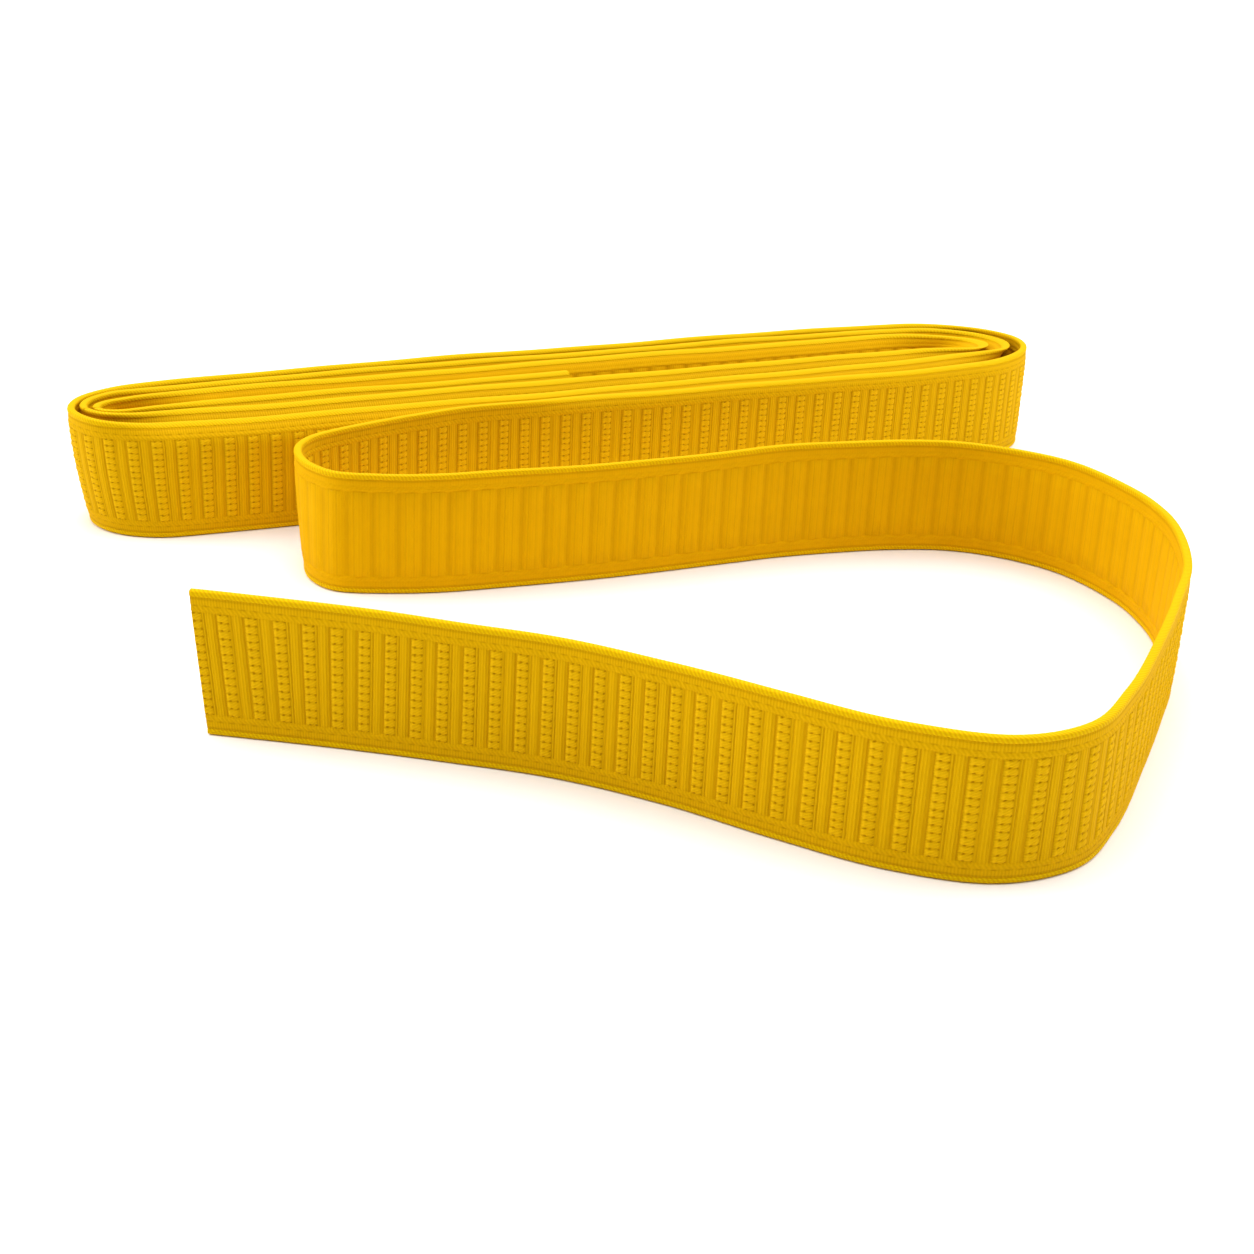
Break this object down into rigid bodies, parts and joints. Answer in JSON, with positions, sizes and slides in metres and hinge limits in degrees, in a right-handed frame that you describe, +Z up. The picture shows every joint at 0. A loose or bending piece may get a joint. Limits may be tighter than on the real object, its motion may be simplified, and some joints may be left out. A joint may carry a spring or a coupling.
{
  "type": "martial arts belt",
  "caption": "Long ribbed yellow webbing belt standing on its edge, folded into a loose hank with one end led back and round in an open loop.",
  "frame": {"origin": "under the middle of the laid belt, on the surface it stands on", "axes": "+Z up across the strap's width, +Y away from the loop towards the back of the hank, +X to the right"},
  "size_m": [0.3643, 0.4015, 0.04],
  "materials": {
    "webbing": "matt woven, ribbed across",
    "edge_cord": "satin, tightly bound"
  },
  "bodies": {
    "hank": {"hank_front_1_web": "webbing", "hank_front_1_upper_edge_cord": "edge_cord", "hank_front_1_lower_edge_cord": "edge_cord", "hank_back_1_web": "webbing", "hank_back_1_upper_edge_cord": "edge_cord", "hank_back_1_lower_edge_cord": "edge_cord", "hank_front_2_web": "webbing", "hank_front_2_upper_edge_cord": "edge_cord", "hank_front_2_lower_edge_cord": "edge_cord", "hank_back_2_web": "webbing", "hank_back_2_upper_edge_cord": "edge_cord", "hank_back_2_lower_edge_cord": "edge_cord", "hank_front_3_web": "webbing", "hank_front_3_upper_edge_cord": "edge_cord", "hank_front_3_lower_edge_cord": "edge_cord", "hank_back_3_web": "webbing", "hank_back_3_upper_edge_cord": "edge_cord", "hank_back_3_lower_edge_cord": "edge_cord", "hank_front_4_web": "webbing", "hank_front_4_upper_edge_cord": "edge_cord", "hank_front_4_lower_edge_cord": "edge_cord"},
    "first_run": {"first_run_web": "webbing", "first_run_upper_edge_cord": "edge_cord", "first_run_lower_edge_cord": "edge_cord"},
    "middle_run": {"middle_run_web": "webbing", "middle_run_upper_edge_cord": "edge_cord", "middle_run_lower_edge_cord": "edge_cord"},
    "tail": {"tail_web": "webbing", "tail_upper_edge_cord": "edge_cord", "tail_lower_edge_cord": "edge_cord"},
    "tail_tip": {"tail_tip_web": "webbing", "tail_tip_upper_edge_cord": "edge_cord", "tail_tip_lower_edge_cord": "edge_cord"}
  },
  "joints": [
    {"name": "peel", "type": "hinge", "parent": "hank", "child": "first_run", "pos_m": [-0.0486, 0.0435, 0.02], "axis": [0, 0, 1], "range_deg": [-12, 15]},
    {"name": "fold", "type": "hinge", "parent": "first_run", "child": "middle_run", "pos_m": [-0.0965, -0.0058, 0.02], "axis": [0, 0, 1], "range_deg": [-30, 8]},
    {"name": "loop", "type": "hinge", "parent": "middle_run", "child": "tail", "pos_m": [0.1805, -0.0463, 0.02], "axis": [0, 0, 1], "range_deg": [-10, 35]},
    {"name": "tail_flex", "type": "hinge", "parent": "tail", "child": "tail_tip", "pos_m": [0.0247, -0.167, 0.02], "axis": [0, 0, 1], "range_deg": [-20, 20]}
  ]
}
